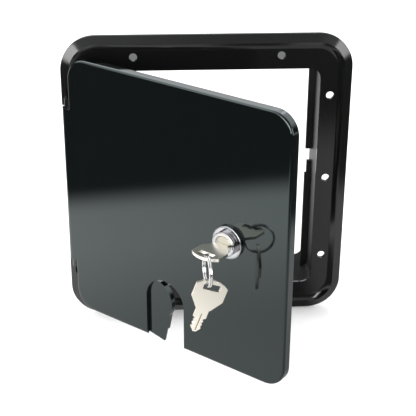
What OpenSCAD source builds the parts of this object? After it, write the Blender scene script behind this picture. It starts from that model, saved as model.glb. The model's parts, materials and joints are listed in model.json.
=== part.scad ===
// Power cord hatch: a square bezel with a wall collar, a hinged door with a keyed cam lock, two keys and a cord flap.
// Millimetres, +Z up, the front faces -Y. The origin is on the wall face of the bezel, in the middle of its lower strip.

/* [Bezel] */
// width of the bezel over its outer edge
bezel_w = 190; // [150:1:240]
// height of the bezel over its outer edge
bezel_h = 203; // [160:1:260]
// outer corner radius of the bezel
bezel_r = 23; // [10:0.5:40]
// thickness of the flat screw flange
flange_t = 2.4; // [2:0.1:4]
// height of the raised rim in front of the wall
rim_h = 4.8; // [4:0.1:8]
// diameter of the screw holes
screw_d = 5.2; // [3.5:0.1:6]

/* [Collar] */
// width of the opening inside the collar
open_w = 148.4; // [110:0.2:190]
// height of the opening inside the collar
open_h = 158.6; // [120:0.2:210]
// height of the opening's middle above the bezel's middle, negative is below
open_z = -1.5; // [-3:0.1:0]
// depth of the collar behind the wall face
collar_d = 40; // [20:1:60]
// wall thickness of the collar
collar_t = 2.2; // [1.6:0.1:3]

/* [Door] */
// opening angle of the door in the stored pose
door_open = 40.9; // [0:0.1:130]
// thickness of the door over its skirt
door_t = 6.2; // [5:0.1:9]
// thickness of the door's front skin
skin_t = 2.1; // [1.8:0.1:3]
// corner radius of the door
door_r = 14.5; // [8:0.5:25]
// gap between the door's free edge and the rim
door_gap = 0.5; // [0.3:0.1:1.5]
// gap above and below the door
door_gap_z = 1.4; // [0.3:0.1:3]
// radius of the door's front edge
edge_r = 1.6; // [0.5:0.1:2]

/* [Cord notch] */
// width of the cord notch
notch_w = 31.2; // [20:0.5:50]
// distance of the notch's middle from the door's middle
notch_x = -7.9; // [-40:0.1:40]
// height of the notch's round top above the middle, negative is below
notch_top = -44.6; // [-70:0.1:-20]
// angle of the cord flap from its closed pose in the stored pose
flap_open = 11.5; // [0:0.5:30]

/* [Lock and keys] */
// distance of the lock from the door's middle
lock_x = 42.7; // [20:0.1:60]
// diameter of the lock's head
head_d = 21; // [16:0.5:28]
// length of the cam from the lock's axis to its tip
cam_l = 30.2; // [25:0.1:45]
// outer diameter of the split ring
ring_d = 20; // [14:0.5:30]

/* [Hidden] */
$fn = 96;
e = 0.01;
over = 1;
half = 0.5;
quarter = 90;

// bezel
hw = bezel_w * half;
hh = bezel_h * half;
corner_x = hw - bezel_r;
corner_z = hh - bezel_r;
lip_h = 2;
crest_w = 5.5;
cove_w = 6.5;
rim_right = 9;
rim_wz = 10;
back_edge = 2.2;
back_low = 0.6;
back_high = 2.2;
back_inner = 8.6;
cove_end = crest_w + cove_w;
cove_stop = 10.5;
cove_h = rim_h - flange_t;
cove_r = (cove_w * cove_w + cove_h * cove_h) / (2 * cove_h);

// screw holes, counted from the bezel's middle
hole_edge = 14;
hole_x = hw - hole_edge;
hole_top_x = 48;
hole_top_edge = 14.5;
hole_top_z = hh - hole_top_edge;
hole_side_z = 59.2;

// collar
open_r = 7;
rib_y = 19;
rib_t = 2.2;
rib_in = 4.3;
strike_in = 3.1;
strike_lo = -5.4;
strike_hi = 4;
rib_gap_hi = 12.8;
rear_cut_y = 29;
rear_cut_lo = -15.5;

// hinge
barrel_r = 4.3;
pin_r = 1.5;
pin_run = 0.05;
axis_in = 4.6;
axis_x = axis_in - hw;
tab_hz = 55;
tab_gap = 0.4;
lug_r = 3;
lug_l = 6;
pin_short = 1;
barrel_room = 0.5;
barrel_room_h = 10;

// door
seat_gap = 0.3;
door_back = flange_t + seat_gap;
door_front = door_back + door_t;
axis_h = door_front - barrel_r;
edge_in = 3.4;
door_left = axis_x + edge_in;
well_gap = 0.56;
well_left = door_left - well_gap;
well_right = hw - rim_right;
well_hz = hh - rim_wz;
door_right = well_right - door_gap;
door_hz = well_hz - door_gap_z;
door_mid = (door_right + door_left) * half;
skirt_t = 2.2;
barrel_web = 20;
boss_r = 12.5;
boss_t = 2;
pivot_boss_r = 4;

// the wall face of the lower strip has the origin in its middle
origin_up = (open_h * half - open_z + well_hz) * half;

// cord notch and flap
notch_r = notch_w * half;
notch_cz = notch_top - notch_r;
pivot_x = -27.5;
pivot_z = 6.5;
flap_cx = -5.7;
flap_cz = -59.8;
flap_r = 15.4;
flap_gap = 0.3;
boss_gap = 0.1;
flap_t = 1.6;
flap_front = door_front - skin_t - flap_gap;
flap_skirt_d = 3.7;
flap_skirt_t = 1.6;
flap_skirt_z = -77;
flap_bottom = -86.3;
flap_left = 20;
flap_right = 14.4;
arm_w = 11;
arm_low_l = 14;
arm_low_r = 2;
arm_rise = 14;
cover_w = 14;
cover_h = 8;
flap_room_l = 34;
flap_pin_r = 1.5;
flap_head_r = 3.2;
flap_head_t = 1;
flap_play = 0.35;

// lock
fit_gap = 0.1;
body_r = 8;
body_l = 30.9;
head_h = 2;
nose_r = 8;
nose_h = 3.9;
key_face = door_front + head_h + nose_h;
body_back = door_front - body_l;
nut_t = 3;
nut_r = 12.4;
plug_r = 5.4;
plug_run = 0.05;
cam_gap = 0.15;
plug_back = body_back - cam_gap;
cam_t = 2;
cam_w = 10;
cam_hub_r = 8;
cam_tip_r = 4;
cam_square = 6;
cam_back = plug_back - cam_t;
screw_r = 1.9;
screw_l = 4;
screw_room = 1;
screw_head_r = 5;
screw_head_t = 2.4;

// keys
key_w = 8;
key_t = 1.8;
key_gap = 0.06;
blade_l = 14;
blade_w = 6.4;
shoulder_l = 4.5;
tip_l = 2.6;
tip_w = 2;
cut_r = 1;
cut_off = 0.35;
cut_step = 2.2;
cut_count = 3;
neck_w = 9;
neck_l = 1.2;
bow_w = 20;
bow_l = 19.9;
bow_low = 7.2;
bow_round = 15.2;
web = 2.5;
slot_w = 10.7;
slot_h = 4.2;
slot_mid = neck_l + bow_l - web - slot_h * half;

// ring and the key that hangs from it
ring_wire = 0.65;
coil_off = 0.55;
ring_rc = ring_d * half - ring_wire;
ring_side = -0.5;
ring_turn = 50;
ring_lean = 50;
spare_lean = 21;
wire_drop = 1.15;
wire_side = 2.2;

// face frame: x to the right, y up, z out of the wall
module face() {
  rotate([quarter, 0, 0])
    children();
}

// rounded rectangle from squares and circles
module rrect(w, h, r) {
  union() {
    square([w - 2 * r, h], center = true);
    square([w, h - 2 * r], center = true);
    for (sx = [-1, 1])
      for (sz = [-1, 1])
        translate([sx * (w * half - r), sz * (h * half - r)])
          circle(r);
  }
}

// plate between two heights above the wall
module slab(lo, hi) {
  translate([0, 0, lo])
    linear_extrude(hi - lo)
      children();
}

// a profile swept round a rounded rectangle, drawn as distance from the corner's centre and height
module sweep(cx, cz) {
  for (i = [0:1])
    rotate([0, 0, i * 2 * quarter]) {
      translate([cx, 0, 0])
        rotate([quarter, 0, 0])
          linear_extrude(2 * cz, center = true)
            children();
      rotate([0, 0, quarter])
        translate([cz, 0, 0])
          rotate([quarter, 0, 0])
            linear_extrude(2 * cx, center = true)
              children();
      translate([cx, cz, 0])
        rotate_extrude(angle = quarter)
          children();
      translate([-cx, cz, 0])
        rotate([0, 0, quarter])
          rotate_extrude(angle = quarter)
            children();
    }
}

// the rim slopes up from its outer edge and falls to the flange in a cove; its back is hollow
module rim_profile() {
  difference() {
    polygon([
      [bezel_r, 0],
      [bezel_r, lip_h],
      [bezel_r - crest_w, rim_h],
      [bezel_r - cove_stop, rim_h],
      [bezel_r - cove_stop, 0],
      [bezel_r - back_inner, 0],
      [bezel_r - crest_w, back_high],
      [bezel_r - back_edge, back_low],
      [bezel_r - back_edge, 0]
    ]);
    translate([bezel_r - cove_end, flange_t + cove_r])
      circle(cove_r);
  }
}

// the sunk part inside the rim, in which the door lies when it is closed
module well_outline(grow) {
  translate([(well_right + well_left) * half, 0])
    rrect(well_right - well_left + 2 * grow, 2 * (well_hz + grow), door_r + door_gap + grow);
}

module opening(grow) {
  translate([0, open_z])
    rrect(open_w + 2 * grow, open_h + 2 * grow, open_r + grow);
}

// stored pose of everything on the door
module on_door() {
  translate([axis_x, -axis_h, origin_up])
    rotate([0, 0, -door_open])
      translate([-axis_x, axis_h, 0])
        children();
}

module on_flap() {
  on_door()
    translate([pivot_x, 0, pivot_z])
      rotate([0, flap_open, 0])
        translate([-pivot_x, 0, -pivot_z])
          children();
}

module bezel_plate() {
  difference() {
    sweep(corner_x, corner_z)
      rim_profile();
    slab(-over, rim_h + over)
      well_outline(0);
  }
  slab(0, flange_t)
    difference() {
      well_outline(e);
      opening(0);
    }
}

module collar() {
  slab(-collar_d, e)
    difference() {
      opening(collar_t);
      opening(0);
    }
}

// upright ribs inside both side walls of the collar
module side_ribs() {
  slab(-rib_y - rib_t, -rib_y)
    difference() {
      opening(e);
      translate([0, open_z])
        square([open_w - 2 * rib_in, open_h + 2 * over], center = true);
    }
}

module hinge_lug(s) {
  translate([axis_x, -axis_h, s * (tab_hz + tab_gap + lug_l * half)]) {
    cylinder(r = lug_r, h = lug_l, center = true);
    translate([-lug_r, 0, -lug_l * half])
      cube([2 * lug_r, axis_h, lug_l]);
  }
}

// room for the door's barrel in the rim
module barrel_room_cut() {
  translate([-hw - over, -tab_hz - tab_gap, -over])
    cube([hw + over + axis_x + barrel_r + barrel_room, 2 * (tab_hz + tab_gap), barrel_room_h]);
}

module bezel_frame() {
  color([0.05, 0.05, 0.055])
    translate([0, 0, origin_up])
      difference() {
        union() {
          face()
            difference() {
              union() {
                bezel_plate();
                collar();
                side_ribs();
              }
              barrel_room_cut();
            }
          for (s = [-1, 1])
            hinge_lug(s);
        }
        for (s = [-1, 1])
          translate([axis_x, -axis_h, s * (tab_hz + lug_l)])
            cylinder(r = pin_r, h = 2 * (lug_l + over), center = true);
        for (sx = [-1, 1])
          for (z = [-hole_side_z, 0, hole_side_z])
            screw_hole(sx * hole_x, z);
        for (sx = [-1, 1])
          for (sz = [-1, 1])
            screw_hole(sx * hole_top_x, sz * hole_top_z);
        latch_cuts();
      }
}

module screw_hole(x, z) {
  translate([x, 0, z])
    rotate([quarter, 0, 0])
      cylinder(d = screw_d, h = 4 * flange_t, center = true);
}

// the rib is open above the strike that the cam turns behind, and the wall is open at the back beside it
module latch_cuts() {
  wall_x = open_w * half;
  rib_x = wall_x - rib_in - over;
  translate([rib_x, rib_y - over, strike_hi])
    cube([rib_in + over, rib_t + 2 * over, rib_gap_hi - strike_hi]);
  translate([rib_x, rib_y - over, strike_lo])
    cube([rib_in + over - strike_in, rib_t + 2 * over, strike_hi - strike_lo + e]);
  translate([wall_x - over, rear_cut_y, rear_cut_lo])
    cube([collar_t + 2 * over, collar_d, rib_gap_hi - rear_cut_lo]);
}

module door_edge() {
  translate([door_r - skirt_t, door_back])
    square([skirt_t, door_t - edge_r]);
  translate([0, door_front - skin_t])
    square([door_r - edge_r, skin_t]);
  intersection() {
    translate([door_r - edge_r, door_front - edge_r])
      circle(edge_r);
    translate([door_r - skirt_t, door_back])
      square([skirt_t, door_t]);
  }
}

module notch_shape() {
  translate([notch_x, notch_cz])
    circle(notch_r);
  translate([notch_x - notch_r, -door_hz - over])
    square([notch_w, door_hz + over + notch_cz]);
}

module door_shell() {
  cx = (door_right - door_left) * half - door_r;
  cz = door_hz - door_r;
  difference() {
    translate([door_mid, 0]) {
      sweep(cx, cz)
        door_edge();
      slab(door_front - skin_t, door_front)
        square([2 * cx, 2 * cz], center = true);
    }
    slab(0, door_front - skin_t)
      translate([door_left - over, -tab_hz - tab_gap])
        square([skirt_t + over + e, 2 * (tab_hz + tab_gap)]);
  }
  slab(door_front - skin_t, door_front)
    translate([axis_x, -tab_hz])
      square([barrel_web, 2 * tab_hz]);
  translate([lock_x, 0, door_front - skin_t - boss_t])
    cylinder(r = boss_r, h = boss_t + e);
  translate([pivot_x, pivot_z, flap_front + boss_gap])
    cylinder(r = pivot_boss_r, h = flap_gap - boss_gap + e);
}

module door_panel() {
  color([0.07, 0.075, 0.08])
    on_door()
      difference() {
        union() {
          face()
            door_shell();
          translate([axis_x, -axis_h, 0])
            cylinder(r = barrel_r, h = 2 * tab_hz, center = true);
        }
        translate([axis_x, -axis_h, 0])
          cylinder(r = pin_r + pin_run, h = 2 * (tab_hz + over), center = true);
        face() {
          slab(0, door_front + over)
            notch_shape();
          slab(0, door_front - skin_t)
            translate([notch_x - notch_r - flap_room_l, -door_hz - over])
              square([flap_room_l + over, skirt_t + over + e]);
          translate([lock_x, 0, 0])
            cylinder(r = body_r + fit_gap, h = door_front + over);
          translate([pivot_x, pivot_z, 0])
            cylinder(r = flap_pin_r, h = door_front - skin_t * half);
        }
      }
}

module hinge_pin() {
  color([0.7, 0.7, 0.72])
    translate([axis_x, -axis_h, origin_up])
      cylinder(r = pin_r, h = 2 * (tab_hz + tab_gap + lug_l - pin_short), center = true);
}

// frame of the lock's axis, its z axis points out of the door
module on_lock() {
  on_door()
    face()
      translate([lock_x, 0, 0])
        children();
}

module lock_body() {
  color([0.8, 0.8, 0.82])
    on_lock()
      difference() {
        union() {
          translate([0, 0, door_front])
            cylinder(d = head_d, h = head_h);
          translate([0, 0, door_front + head_h - e])
            cylinder(r = nose_r, h = nose_h + e);
          translate([0, 0, body_back])
            cylinder(r = body_r, h = body_l + e);
        }
        translate([0, 0, body_back - over])
          cylinder(r = plug_r + plug_run, h = key_face - body_back + 2 * over);
      }
}

module lock_nut() {
  color([0.72, 0.72, 0.74])
    on_lock()
      translate([0, 0, door_front - skin_t - boss_t - nut_t])
        difference() {
          cylinder(r = nut_r, h = nut_t, $fn = 6);
          translate([0, 0, -over])
            cylinder(r = body_r, h = nut_t + 2 * over);
        }
}

module lock_plug() {
  keyway_w = key_w + 2 * key_gap;
  keyway_t = key_t + 2 * key_gap;
  color([0.78, 0.78, 0.74])
    on_lock()
      difference() {
        union() {
          translate([0, 0, plug_back])
            cylinder(r = plug_r, h = key_face - plug_back);
          translate([-cam_square * half, -cam_square * half, cam_back])
            cube([cam_square, cam_square, cam_t + over]);
        }
        translate([-keyway_w * half, -keyway_t * half, key_face - blade_l - over])
          cube([keyway_w, keyway_t, blade_l + 2 * over]);
        translate([0, 0, cam_back - over])
          cylinder(r = screw_r, h = over + screw_l + screw_room);
      }
}

module lock_cam() {
  color([0.75, 0.72, 0.6])
    on_lock()
      translate([0, 0, cam_back])
        linear_extrude(cam_t)
          difference() {
            union() {
              circle(cam_hub_r);
              translate([-cam_w * half, cam_tip_r - cam_l])
                square([cam_w, cam_l - cam_tip_r]);
              translate([0, cam_tip_r - cam_l])
                circle(cam_tip_r);
            }
            square(cam_square + fit_gap, center = true);
          }
}

module cam_screw() {
  color([0.7, 0.7, 0.72])
    on_lock()
      translate([0, 0, cam_back]) {
        translate([0, 0, -screw_head_t])
          cylinder(r = screw_head_r, h = screw_head_t);
        cylinder(r = screw_r, h = screw_l);
      }
}

// key drawn flat: the blade goes down the y axis from the origin, the bow is above
module key_outline() {
  difference() {
    union() {
      translate([-blade_w * half, tip_l - blade_l])
        square([blade_w, blade_l - tip_l]);
      polygon([
        [-blade_w * half, tip_l - blade_l],
        [-tip_w * half, -blade_l],
        [tip_w * half, -blade_l],
        [blade_w * half, tip_l - blade_l]
      ]);
    }
    for (i = [0:cut_count - 1])
      for (s = [-1, 1])
        translate([s * (blade_w * half + cut_off), -shoulder_l - cut_r - i * cut_step])
          circle(cut_r);
  }
  translate([-key_w * half, -shoulder_l])
    square([key_w, shoulder_l + neck_l + e]);
  intersection() {
    polygon([
      [-neck_w * half, neck_l],
      [neck_w * half, neck_l],
      [bow_w * half, neck_l + bow_low],
      [bow_w * half, neck_l + bow_l],
      [-bow_w * half, neck_l + bow_l],
      [-bow_w * half, neck_l + bow_low]
    ]);
    translate([0, neck_l + bow_l - bow_round])
      circle(bow_round);
  }
}

module key_plate() {
  translate([0, 0, -key_t * half])
    linear_extrude(key_t)
      difference() {
        key_outline();
        translate([-slot_w * half, slot_mid - slot_h * half])
          square([slot_w, slot_h]);
      }
}

module lock_key() {
  color([0.78, 0.76, 0.68])
    on_lock()
      translate([0, 0, key_face])
        rotate([quarter, 0, 0])
          key_plate();
}

// frame in the lock key's slot, its z axis points out along the ring
module hang() {
  on_lock()
    translate([ring_side, 0, key_face + slot_mid])
      rotate([0, ring_turn, 0])
        children();
}

// both turns of the split ring as one solid
module key_ring() {
  color([0.8, 0.8, 0.8])
    hang()
      translate([0, -ring_rc * sin(ring_lean), ring_rc * cos(ring_lean)])
        rotate([0, quarter, 0])
          rotate_extrude()
            translate([ring_rc, 0])
              for (s = [-1, 1])
                translate([0, s * coil_off])
                  circle(ring_wire);
}

module spare_key() {
  color([0.78, 0.76, 0.68])
    hang()
      translate([0, -ring_rc * (sin(ring_lean) + 1), ring_rc * cos(ring_lean)])
        rotate([0, 0, -spare_lean])
          translate([slot_w * half - wire_side, wire_drop - slot_h * half - slot_mid, 0])
            key_plate();
}

module flap_outline() {
  translate([flap_cx, flap_cz])
    circle(flap_r);
  translate([flap_cx - flap_left, flap_bottom])
    square([flap_left + flap_right, flap_cz - flap_bottom]);
  translate([flap_cx - flap_left, flap_cz - e])
    square([cover_w, cover_h]);
  polygon([
    [flap_cx - arm_low_l, flap_cz],
    [flap_cx - arm_low_r, flap_cz + arm_rise],
    [pivot_x + arm_w * half, pivot_z],
    [pivot_x - arm_w * half, pivot_z]
  ]);
  translate([pivot_x, pivot_z])
    circle(arm_w * half);
}

// turned-back rim on the right side of the flap, round at the top
module flap_rim() {
  inner_r = flap_r - flap_skirt_t;
  inner_x = flap_right - flap_skirt_t;
  intersection() {
    difference() {
      union() {
        translate([flap_cx, flap_cz])
          circle(flap_r);
        translate([flap_cx, flap_skirt_z])
          square([flap_right, flap_cz - flap_skirt_z]);
      }
      translate([flap_cx, flap_cz])
        circle(inner_r);
      translate([flap_cx - over, flap_skirt_z - over])
        square([inner_x + over, flap_cz - flap_skirt_z + over]);
    }
    translate([flap_cx, flap_skirt_z])
      square([flap_r, flap_cz - flap_skirt_z + flap_r]);
  }
}

module cord_flap() {
  color([0.07, 0.075, 0.08])
    on_flap()
      face()
        difference() {
          union() {
            slab(flap_front - flap_t, flap_front)
              flap_outline();
            slab(flap_front - flap_skirt_d, flap_front)
              flap_rim();
          }
          translate([pivot_x, pivot_z, 0])
            cylinder(r = flap_pin_r + pin_run, h = door_front);
        }
}

module flap_pin() {
  head = flap_front - flap_t - flap_play;
  color([0.7, 0.7, 0.72])
    on_door()
      face()
        translate([pivot_x, pivot_z, 0]) {
          translate([0, 0, head])
            cylinder(r = flap_pin_r, h = door_front - skin_t * half - head);
          translate([0, 0, head - flap_head_t])
            cylinder(r = flap_head_r, h = flap_head_t);
        }
}

bezel_frame();
hinge_pin();
door_panel();
lock_body();
lock_nut();
lock_plug();
lock_cam();
cam_screw();
lock_key();
key_ring();
spare_key();
cord_flap();
flap_pin();
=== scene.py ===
"""Looks of the power cord hatch: gloss black plastic, chrome lock, nickel keys, white floor."""

import json
import math

import bpy
from mathutils import Matrix, Vector


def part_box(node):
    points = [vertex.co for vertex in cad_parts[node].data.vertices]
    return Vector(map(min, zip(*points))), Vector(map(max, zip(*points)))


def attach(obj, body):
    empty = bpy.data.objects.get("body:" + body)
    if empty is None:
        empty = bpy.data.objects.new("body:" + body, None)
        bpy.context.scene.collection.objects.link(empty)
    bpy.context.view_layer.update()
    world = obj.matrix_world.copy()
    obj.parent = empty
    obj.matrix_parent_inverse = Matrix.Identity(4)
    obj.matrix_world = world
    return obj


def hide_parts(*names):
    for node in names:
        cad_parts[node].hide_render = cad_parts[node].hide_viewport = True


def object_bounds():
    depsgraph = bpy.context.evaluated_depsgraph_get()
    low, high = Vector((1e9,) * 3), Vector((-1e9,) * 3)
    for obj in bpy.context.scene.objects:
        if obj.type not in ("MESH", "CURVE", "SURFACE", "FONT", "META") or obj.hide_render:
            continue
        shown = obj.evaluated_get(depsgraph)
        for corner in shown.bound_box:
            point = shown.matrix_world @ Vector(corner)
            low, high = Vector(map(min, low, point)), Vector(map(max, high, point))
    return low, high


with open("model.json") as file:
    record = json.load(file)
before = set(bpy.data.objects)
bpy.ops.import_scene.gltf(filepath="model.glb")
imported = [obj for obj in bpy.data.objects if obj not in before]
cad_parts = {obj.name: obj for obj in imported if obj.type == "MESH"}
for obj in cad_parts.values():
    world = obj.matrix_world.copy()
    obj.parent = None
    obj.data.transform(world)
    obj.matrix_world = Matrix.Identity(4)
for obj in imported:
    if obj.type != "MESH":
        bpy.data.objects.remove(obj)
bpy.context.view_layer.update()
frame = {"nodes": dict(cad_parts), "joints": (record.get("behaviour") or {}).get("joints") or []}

# from the frame: the joints, and the height of the bezel's middle
JOINTS = {joint["name"]: joint for joint in frame["joints"]}
BEZEL_LOW, BEZEL_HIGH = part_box("bezel_frame")
MIDDLE_HEIGHT = (BEZEL_LOW[2] + BEZEL_HIGH[2]) / 2

# camera, matched to the photograph; its height counts from the bezel's middle
CAMERA_AT = (-0.04259, -0.67218, 0.29548 + MIDDLE_HEIGHT)
CAMERA_REACH = 20.0
LENS_MM = 93.447
SENSOR_MM = 36.0
YAW = math.radians(-3.705)
PITCH = math.radians(25.251)
ROLL = math.radians(0.337)

# hinge line, and how far the door stands open at rest
HINGE = Vector(JOINTS["door_hinge"]["pos_m"])
DOOR_ANGLE = math.radians(-JOINTS["door_hinge"]["range_deg"][0])

# lock: the middle of its front face, the way out of it, and the rounded edges on its head
LOCK_FACE = Vector(JOINTS["plug_turn"]["pos_m"])
LOCK_OUT = Vector(JOINTS["plug_turn"]["axis"])
NOSE_HEIGHT = 0.0039
HEAD_EDGE_RADIUS = 0.0102
NOSE_EDGE_RADIUS = 0.0077
KEYWAY_EDGE_RADIUS = 0.0056
EDGE_SUNK = 0.0003
EDGE_BEAD = 0.00045
KEYWAY_BEAD = 0.0003

# spare key: how far it leans on the ring, and the line milled along its blade
SPARE_LEAN = math.radians(21)
GROOVE_TO_TIP = 0.00098
GROOVE_LENGTH = 0.0115
GROOVE_SHIFT = 0.0004
GROOVE_RADIUS = 0.00045
GROOVE_DEPTH = 0.00028

# painted shade in that line, darkest in the groove's depth; it sets in and ends over these depths
# under the key's face
GROOVE_SHADE_COLOUR = (0.2, 0.16, 0.11)
GROOVE_SHADE_BEGINS = (GROOVE_DEPTH * 0.3, GROOVE_DEPTH * 0.8)
GROOVE_SHADE_ENDS = (GROOVE_DEPTH * 1.1, GROOVE_DEPTH * 1.3)

# finish
KEY_COLOUR = (0.86, 0.82, 0.725)
KEY_ROUGHNESS = 0.28
KEY_RIPPLE = 0.3
EDGE_ROUNDING = 0.0003
PLASTIC_IOR = 1.5
PLASTIC_RIPPLE_SCALE = 40.0
METAL_RIPPLE_SCALE = 900.0
RIPPLE_DETAIL = 3.0
RIPPLE_HEIGHT = 0.00002

# collar: duller from this depth on, and dullest on the faces that look up in its lower half
COLLAR_ROUGHNESS = 0.5
COLLAR_BEGINS = (-0.0012, -0.0004)
LOWER_HALF_BLUR = 0.01
LOOKS_UP = (0.3, 0.7)

# floor
FLOOR_GAP = 0.0004
FLOOR_SIDE = 6.0
FLOOR_COLOUR = (0.93, 0.93, 0.93)

# painted reflection: a table top that the floor glows as, for the gloss only; where it ends, and how
# bright it is from left to right
TABLE_HALF_WIDTH = 0.287
TABLE_EDGE_BLUR = 0.03
TABLE_FRONT = -0.35
TABLE_FRONT_BLUR = 0.07
TABLE_FAR_LEFT = (-0.22, -0.05)
TABLE_MIDDLE = (0.0, 0.07)
TABLE_FAR_RIGHT = (0.07, 0.2)
TABLE_BACK = (0.03, 0.34)
SIDE_GLOW = 2.1
NEAR_GLOW = 1.25
RIGHT_GLOW = 0.6
FAR_RIGHT_GLOW = 0.95
BACK_GLOW = 1.3

# painted shadow in that glow, on the table between the opened door and the wall; its glows are the
# shares that it leaves
SHADE_GLOW = 0.5
SHADE_GLOW_RIGHT = 0.08
SHADE_ACROSS = (0.0, 0.04)
SHADE_BLUR = 0.02
SHADE_RIGHT = 0.08
SHADE_RIGHT_BLUR = 0.01
SHADE_NEAR = (-0.1, -0.08)

# sky that lights the part, and the room that the gloss mirrors, by direction
SKY_STRENGTH = 1.38
ROOM_COLOUR = (0.95, 0.97, 1)
ROOM_GLOW = 0.075
CEILING_GLOW = 2.4
CEILING_RISE = (0.12, 0.45)
CEILING_BACK = (-0.5, 0.3)
CEILING_FRONT_SHARE = 0.3
DARK_FRONT = (-0.3, 0.0)
DARK_OVERHEAD = (0.55, 0.65)
DARK_RIGHT = (-0.05, 0.1)
DARK_SHARE = 0.9

# the point that the light panels face
PANEL_AIM = Vector((0, 0, 0.08))


def rotation(angle, axis):
    return Matrix.Rotation(angle, 3, axis)


def around(middle, half):
    return middle - half, middle + half


def reach(node, way):
    """Where a CAD node begins and ends along a direction."""
    along = [vertex.co.dot(way) for vertex in frame["nodes"][node].data.vertices]
    return min(along), max(along)


def math_node(tree, operation, first, second=None):
    node = tree.nodes.new("ShaderNodeMath")
    node.operation = operation
    for place, value in enumerate((first, second)):
        if value is None:
            continue
        if isinstance(value, (int, float)):
            node.inputs[place].default_value = value
        else:
            tree.links.new(value, node.inputs[place])
    return node.outputs[0]


def chain(tree, operation, *values):
    """All values joined by one operation, from left to right."""
    result = values[0]
    for value in values[1:]:
        result = math_node(tree, operation, result, value)
    return result


def blend(tree, value, span, low, high):
    """low where value is at the start of span, high where it is at the end, smooth between."""
    node = tree.nodes.new("ShaderNodeMapRange")
    node.interpolation_type = "SMOOTHSTEP"
    node.inputs["From Min"].default_value = span[0]
    node.inputs["From Max"].default_value = span[1]
    node.inputs["To Min"].default_value = low
    node.inputs["To Max"].default_value = high
    tree.links.new(value, node.inputs["Value"])
    return node.outputs["Result"]


def split_xyz(tree, vector):
    node = tree.nodes.new("ShaderNodeSeparateXYZ")
    tree.links.new(vector, node.inputs[0])
    return node.outputs


def show_apart(tree, seen, mirrored, output):
    """The eye sees one shader, and the gloss mirrors the other."""
    path = tree.nodes.new("ShaderNodeLightPath")
    mix = tree.nodes.new("ShaderNodeMixShader")
    tree.links.new(path.outputs["Is Glossy Ray"], mix.inputs["Fac"])
    tree.links.new(seen.outputs[0], mix.inputs[1])
    tree.links.new(mirrored.outputs[0], mix.inputs[2])
    tree.links.new(mix.outputs[0], output.inputs["Surface"])


def new_material(name):
    material = bpy.data.materials.new(name)
    material.use_nodes = True
    return material


def set_values(shader, **values):
    for key, value in values.items():
        shader.inputs[key.replace("_", " ")].default_value = value


def add_ripple(material, scale, strength, rounding=EDGE_ROUNDING):
    """A faint unevenness of the surface, with the edges rounded in the shading."""
    tree = material.node_tree
    coords = tree.nodes.new("ShaderNodeTexCoord")
    noise = tree.nodes.new("ShaderNodeTexNoise")
    set_values(noise, Scale=scale, Detail=RIPPLE_DETAIL)
    bump = tree.nodes.new("ShaderNodeBump")
    set_values(bump, Strength=strength, Distance=RIPPLE_HEIGHT)
    if rounding:
        edges = tree.nodes.new("ShaderNodeBevel")
        set_values(edges, Radius=rounding)
        tree.links.new(edges.outputs["Normal"], bump.inputs["Normal"])
    tree.links.new(coords.outputs["Object"], noise.inputs["Vector"])
    tree.links.new(noise.outputs["Fac"], bump.inputs["Height"])
    tree.links.new(bump.outputs["Normal"], tree.nodes["Principled BSDF"].inputs["Normal"])


def gloss_plastic(name, colour, roughness, ripple, tint=(1.0, 1.0, 1.0)):
    material = new_material(name)
    shader = material.node_tree.nodes["Principled BSDF"]
    set_values(shader, Base_Color=(*colour, 1), Roughness=roughness, IOR=PLASTIC_IOR)
    set_values(shader, Specular_Tint=(*tint, 1))
    add_ripple(material, PLASTIC_RIPPLE_SCALE, ripple)
    return material


def metal(name, colour, roughness, ripple, rounding=EDGE_ROUNDING):
    material = new_material(name)
    shader = material.node_tree.nodes["Principled BSDF"]
    set_values(shader, Base_Color=(*colour, 1), Roughness=roughness, Metallic=1.0)
    add_ripple(material, METAL_RIPPLE_SCALE, ripple, rounding)
    return material


def dull_inside(material):
    """The wall collar behind the flange is moulded with a duller face than the front."""
    tree = material.node_tree
    shader = tree.nodes["Principled BSDF"]
    surface = tree.nodes.new("ShaderNodeNewGeometry")
    place = split_xyz(tree, surface.outputs["Position"])
    facing = split_xyz(tree, surface.outputs["Normal"])
    front_rough = shader.inputs["Roughness"].default_value
    inside = blend(tree, place["Y"], COLLAR_BEGINS, 0, 1)
    low = blend(tree, place["Z"], around(MIDDLE_HEIGHT, LOWER_HALF_BLUR), 1, 0)
    upward = blend(tree, facing["Z"], LOOKS_UP, 0, 1 - COLLAR_ROUGHNESS)
    low_and_upward = math_node(tree, "MULTIPLY", low, upward)
    more = math_node(tree, "ADD", low_and_upward, COLLAR_ROUGHNESS - front_rough)
    rough = math_node(tree, "ADD", math_node(tree, "MULTIPLY", inside, more), front_rough)
    tree.links.new(rough, shader.inputs["Roughness"])


def paint_groove_shade(material, face, level):
    """Painted shade in the depth of the groove: dark where the place lies a little under the key's
    face.
    """
    tree = material.node_tree
    coords = tree.nodes.new("ShaderNodeTexCoord")
    height = tree.nodes.new("ShaderNodeVectorMath")
    height.operation = "DOT_PRODUCT"
    tree.links.new(coords.outputs["Object"], height.inputs[0])
    height.inputs[1].default_value = face
    under = math_node(tree, "SUBTRACT", level, height.outputs["Value"])
    deep = blend(tree, under, GROOVE_SHADE_BEGINS, 0, 1)
    shallow = blend(tree, under, GROOVE_SHADE_ENDS, 1, 0)
    shader = tree.nodes["Principled BSDF"]
    mix = tree.nodes.new("ShaderNodeMix")
    mix.data_type = "RGBA"
    mix.inputs["A"].default_value = shader.inputs["Base Color"].default_value
    mix.inputs["B"].default_value = (*GROOVE_SHADE_COLOUR, 1)
    tree.links.new(math_node(tree, "MULTIPLY", deep, shallow), mix.inputs["Factor"])
    tree.links.new(mix.outputs["Result"], shader.inputs["Base Color"])


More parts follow.
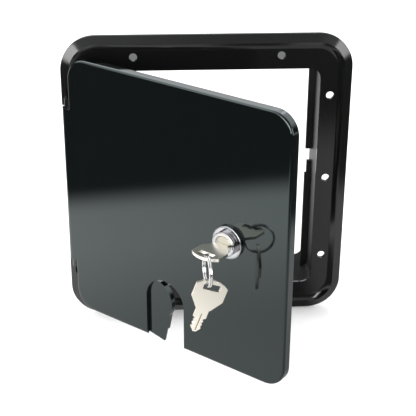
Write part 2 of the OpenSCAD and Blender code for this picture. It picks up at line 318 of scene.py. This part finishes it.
def groove_cutter(face, level):
    """A thin rod along the spare key's blade, sunk a little into its face."""
    lean = rotation(-SPARE_LEAN, face)
    down = lean @ Vector((0, 0, -1))
    across = lean @ -Vector(JOINTS["ring_swing"]["axis"])
    tip = reach("spare_key", down)[1]
    blade_middle = sum(reach("spare_key", across)) / 2
    place = down * (tip - GROOVE_TO_TIP - GROOVE_LENGTH / 2)
    place = place + across * (blade_middle + GROOVE_SHIFT)
    place = place + face * (level + GROOVE_RADIUS - GROOVE_DEPTH)
    bpy.ops.mesh.primitive_cylinder_add(
        vertices=32, radius=GROOVE_RADIUS, depth=GROOVE_LENGTH, location=place
    )
    cutter = bpy.context.object
    cutter.rotation_mode = "QUATERNION"
    cutter.rotation_quaternion = down.to_track_quat("Z", "Y")
    return cutter


def mill_groove(material):
    """The spare key with the line milled along the face of its blade, in place of the plain one."""
    face = Vector(JOINTS["spare_swing"]["axis"])
    level = reach("spare_key", face)[1]
    key = bpy.data.objects.new("grooved_key", frame["nodes"]["spare_key"].data.copy())
    bpy.context.collection.objects.link(key)
    cutter = groove_cutter(face, level)
    cut = key.modifiers.new("groove", "BOOLEAN")
    cut.operation = "DIFFERENCE"
    cut.solver = "EXACT"
    cut.object = cutter
    bpy.context.view_layer.objects.active = key
    bpy.ops.object.modifier_apply(modifier="groove")
    bpy.data.objects.remove(cutter)
    # painted shade: the groove's depth is coloured darker
    paint_groove_shade(material, face, level)
    key.data.materials.clear()
    key.data.materials.append(material)
    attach(key, "spare")
    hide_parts("spare_key")


def add_bead(name, sunk, ring_radius, bead_radius, material):
    """A rounded edge on the lock's head, as a thin ring round its axis, sunk below its front face."""
    bpy.ops.mesh.primitive_torus_add(
        major_radius=ring_radius, minor_radius=bead_radius, major_segments=96, minor_segments=16
    )
    bead = bpy.context.object
    bead.name = name
    bead.rotation_mode = "QUATERNION"
    bead.rotation_quaternion = LOCK_OUT.to_track_quat("Z", "Y")
    bead.location = LOCK_FACE - LOCK_OUT * sunk
    bead.data.materials.append(material)
    bpy.ops.object.shade_smooth()
    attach(bead, "door")


def dress_all():
    bezel = gloss_plastic("bezel_plastic", (0.003, 0.003, 0.003), roughness=0.12, ripple=0.1)
    dull_inside(bezel)
    door = gloss_plastic(
        "door_plastic", (0.0012, 0.0018, 0.0018), roughness=0.06, ripple=0.02, tint=(0.85, 1.0, 1.01)
    )
    chrome = metal("chrome", (0.38, 0.38, 0.39), roughness=0.06, ripple=0.05)
    worn_chrome = metal("worn_chrome", (0.3, 0.295, 0.27), roughness=0.15, ripple=0.3)
    nickel = metal("nickel", KEY_COLOUR, KEY_ROUGHNESS, KEY_RIPPLE)
    grooved = metal("grooved_nickel", KEY_COLOUR, KEY_ROUGHNESS, KEY_RIPPLE)
    steel = metal("steel", (0.68, 0.68, 0.67), roughness=0.2, ripple=0.1)
    wire = metal("wire", (0.56, 0.56, 0.55), roughness=0.2, ripple=0.1, rounding=0)
    zinc = metal("zinc", (0.62, 0.6, 0.52), roughness=0.35, ripple=0.4)
    looks = {
        "bezel_frame": bezel,
        "door_panel": door,
        "cord_flap": door,
        "lock_body": chrome,
        "lock_plug": worn_chrome,
        "lock_nut": zinc,
        "lock_cam": zinc,
        "cam_screw": steel,
        "hinge_pin": steel,
        "flap_pin": steel,
        "key_ring": wire,
        "lock_key": nickel,
        "spare_key": nickel,
    }
    mill_groove(grooved)
    for node, material in looks.items():
        mesh = frame["nodes"][node].data
        mesh.materials.clear()
        mesh.materials.append(material)
    add_bead("head_edge", NOSE_HEIGHT + EDGE_SUNK, HEAD_EDGE_RADIUS, EDGE_BEAD, chrome)
    add_bead("nose_edge", EDGE_SUNK, NOSE_EDGE_RADIUS, EDGE_BEAD, chrome)
    add_bead("keyway_edge", 0.0, KEYWAY_EDGE_RADIUS, KEYWAY_BEAD, worn_chrome)


def add_camera():
    data = bpy.data.cameras.new("camera")
    data.lens = LENS_MM
    data.sensor_width = SENSOR_MM
    data.clip_end = CAMERA_REACH
    camera = bpy.data.objects.new("camera", data)
    level = Matrix(((1, 0, 0), (0, 0, -1), (0, 1, 0)))
    turn = rotation(ROLL, "Z") @ rotation(PITCH, "X") @ rotation(YAW, "Y") @ level
    right, down, forward = turn[0], turn[1], turn[2]
    view = Matrix((right, -down, -forward)).transposed()
    camera.matrix_world = Matrix.Translation(CAMERA_AT) @ view.to_4x4()
    bpy.context.collection.objects.link(camera)
    bpy.context.scene.camera = camera


def painted_door_shadow(tree, place):
    """Painted shadow in the floor's glow: 1 on the open table, less on the strip between the opened
    door and the wall.
    """
    across = math_node(tree, "MULTIPLY", place["X"], math.sin(DOOR_ANGLE))
    out = math_node(tree, "MULTIPLY", place["Y"], math.cos(DOOR_ANGLE))
    beyond = math_node(tree, "ADD", across, out)
    door_line = HINGE.x * math.sin(DOOR_ANGLE) + HINGE.y * math.cos(DOOR_ANGLE)
    strength = blend(tree, place["X"], SHADE_ACROSS, 1 - SHADE_GLOW, 1 - SHADE_GLOW_RIGHT)
    behind = blend(tree, beyond, (door_line, door_line + SHADE_BLUR), 0, 1)
    beside = blend(tree, place["X"], around(SHADE_RIGHT, SHADE_RIGHT_BLUR), 1, 0)
    near = blend(tree, place["Y"], SHADE_NEAR, 0, 1)
    shade = chain(tree, "MULTIPLY", strength, behind, beside, near)
    return math_node(tree, "SUBTRACT", 1.0, shade)


def painted_table_glow(tree):
    """Painted reflection: how bright the floor glows for the gloss, as a table top with a painted
    shadow by the door; past its edges the room is dark.
    """
    coords = tree.nodes.new("ShaderNodeTexCoord")
    place = split_xyz(tree, coords.outputs["Object"])
    side = math_node(tree, "ABSOLUTE", place["X"])
    far_left = blend(tree, place["X"], TABLE_FAR_LEFT, SIDE_GLOW - NEAR_GLOW, 0)
    middle = blend(tree, place["X"], TABLE_MIDDLE, NEAR_GLOW, RIGHT_GLOW)
    far_right = blend(tree, place["X"], TABLE_FAR_RIGHT, 0, FAR_RIGHT_GLOW - RIGHT_GLOW)
    glow = chain(tree, "ADD", far_left, middle, far_right)
    edge = blend(tree, side, around(TABLE_HALF_WIDTH, TABLE_EDGE_BLUR), 1, 0)
    front = blend(tree, place["Y"], around(TABLE_FRONT, TABLE_FRONT_BLUR), 0, 1)
    lit = chain(tree, "MULTIPLY", glow, edge, front, painted_door_shadow(tree, place))
    back = blend(tree, place["Y"], TABLE_BACK, 0, BACK_GLOW)
    return chain(tree, "ADD", lit, back, ROOM_GLOW)


def add_floor():
    """A white floor; the gloss sees it glow, a painted reflection of a white table top in a dark
    room.
    """
    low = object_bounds()[0].z - FLOOR_GAP
    bpy.ops.mesh.primitive_plane_add(size=FLOOR_SIDE, location=(0, 0, low))
    floor = bpy.context.object
    floor.name = "floor"
    material = new_material("floor_white")
    tree = material.node_tree
    tree.nodes.clear()
    matte = tree.nodes.new("ShaderNodeBsdfDiffuse")
    set_values(matte, Color=(*FLOOR_COLOUR, 1))
    glow = tree.nodes.new("ShaderNodeEmission")
    # painted reflection: the floor glows for the gloss only, with a painted shadow between the door
    # and the wall
    tree.links.new(painted_table_glow(tree), glow.inputs["Strength"])
    show_apart(tree, matte, glow, tree.nodes.new("ShaderNodeOutputMaterial"))
    floor.data.materials.append(material)


def ceiling_glow(tree):
    """How bright the room is that the gloss mirrors: a ceiling, dark overhead at the front right."""
    coords = tree.nodes.new("ShaderNodeTexCoord")
    way = split_xyz(tree, coords.outputs["Generated"])
    up = blend(tree, way["Z"], CEILING_RISE, 0, 1)
    back = blend(tree, way["Y"], CEILING_BACK, CEILING_FRONT_SHARE, 1)
    front = blend(tree, way["Y"], DARK_FRONT, 1, 0)
    overhead = blend(tree, way["Z"], DARK_OVERHEAD, 0, DARK_SHARE)
    right = blend(tree, way["X"], DARK_RIGHT, 0, 1)
    dark = chain(tree, "MULTIPLY", front, overhead, right)
    lit = math_node(tree, "SUBTRACT", 1.0, dark)
    ceiling = chain(tree, "MULTIPLY", up, back, CEILING_GLOW, lit)
    return math_node(tree, "ADD", ceiling, ROOM_GLOW)


def add_world():
    """White all round, which the gloss mirrors as a dark room with a bright ceiling."""
    world = bpy.data.worlds.new("studio")
    bpy.context.scene.world = world
    world.use_nodes = True
    tree = world.node_tree
    tree.nodes.clear()
    sky = tree.nodes.new("ShaderNodeBackground")
    set_values(sky, Color=(1, 1, 1, 1), Strength=SKY_STRENGTH)
    room = tree.nodes.new("ShaderNodeBackground")
    set_values(room, Color=(*ROOM_COLOUR, 1))
    tree.links.new(ceiling_glow(tree), room.inputs["Strength"])
    show_apart(tree, sky, room, tree.nodes.new("ShaderNodeOutputWorld"))


def add_panel(name, at, width, height, watts):
    data = bpy.data.lights.new(name, "AREA")
    data.shape = "RECTANGLE"
    data.size = width
    data.size_y = height
    data.energy = watts
    light = bpy.data.objects.new(name, data)
    light.location = at
    light.rotation_mode = "QUATERNION"
    light.rotation_quaternion = (PANEL_AIM - Vector(at)).to_track_quat("-Z", "Y")
    bpy.context.collection.objects.link(light)


add_camera()
dress_all()
add_world()
add_floor()
add_panel("top_panel", (0.0, 0.7, 1.3), width=1.6, height=0.8, watts=8)
add_panel("left_panel", (-1.3, -0.5, 0.9), width=0.8, height=1.2, watts=6)
add_panel("right_panel", (1.2, -1.05, 0.42), width=0.7, height=0.7, watts=10)
add_panel("left_front_panel", (-0.85, -1.4, 0.42), width=1.5, height=0.8, watts=34)

bpy.context.scene.view_settings.view_transform = "Standard"
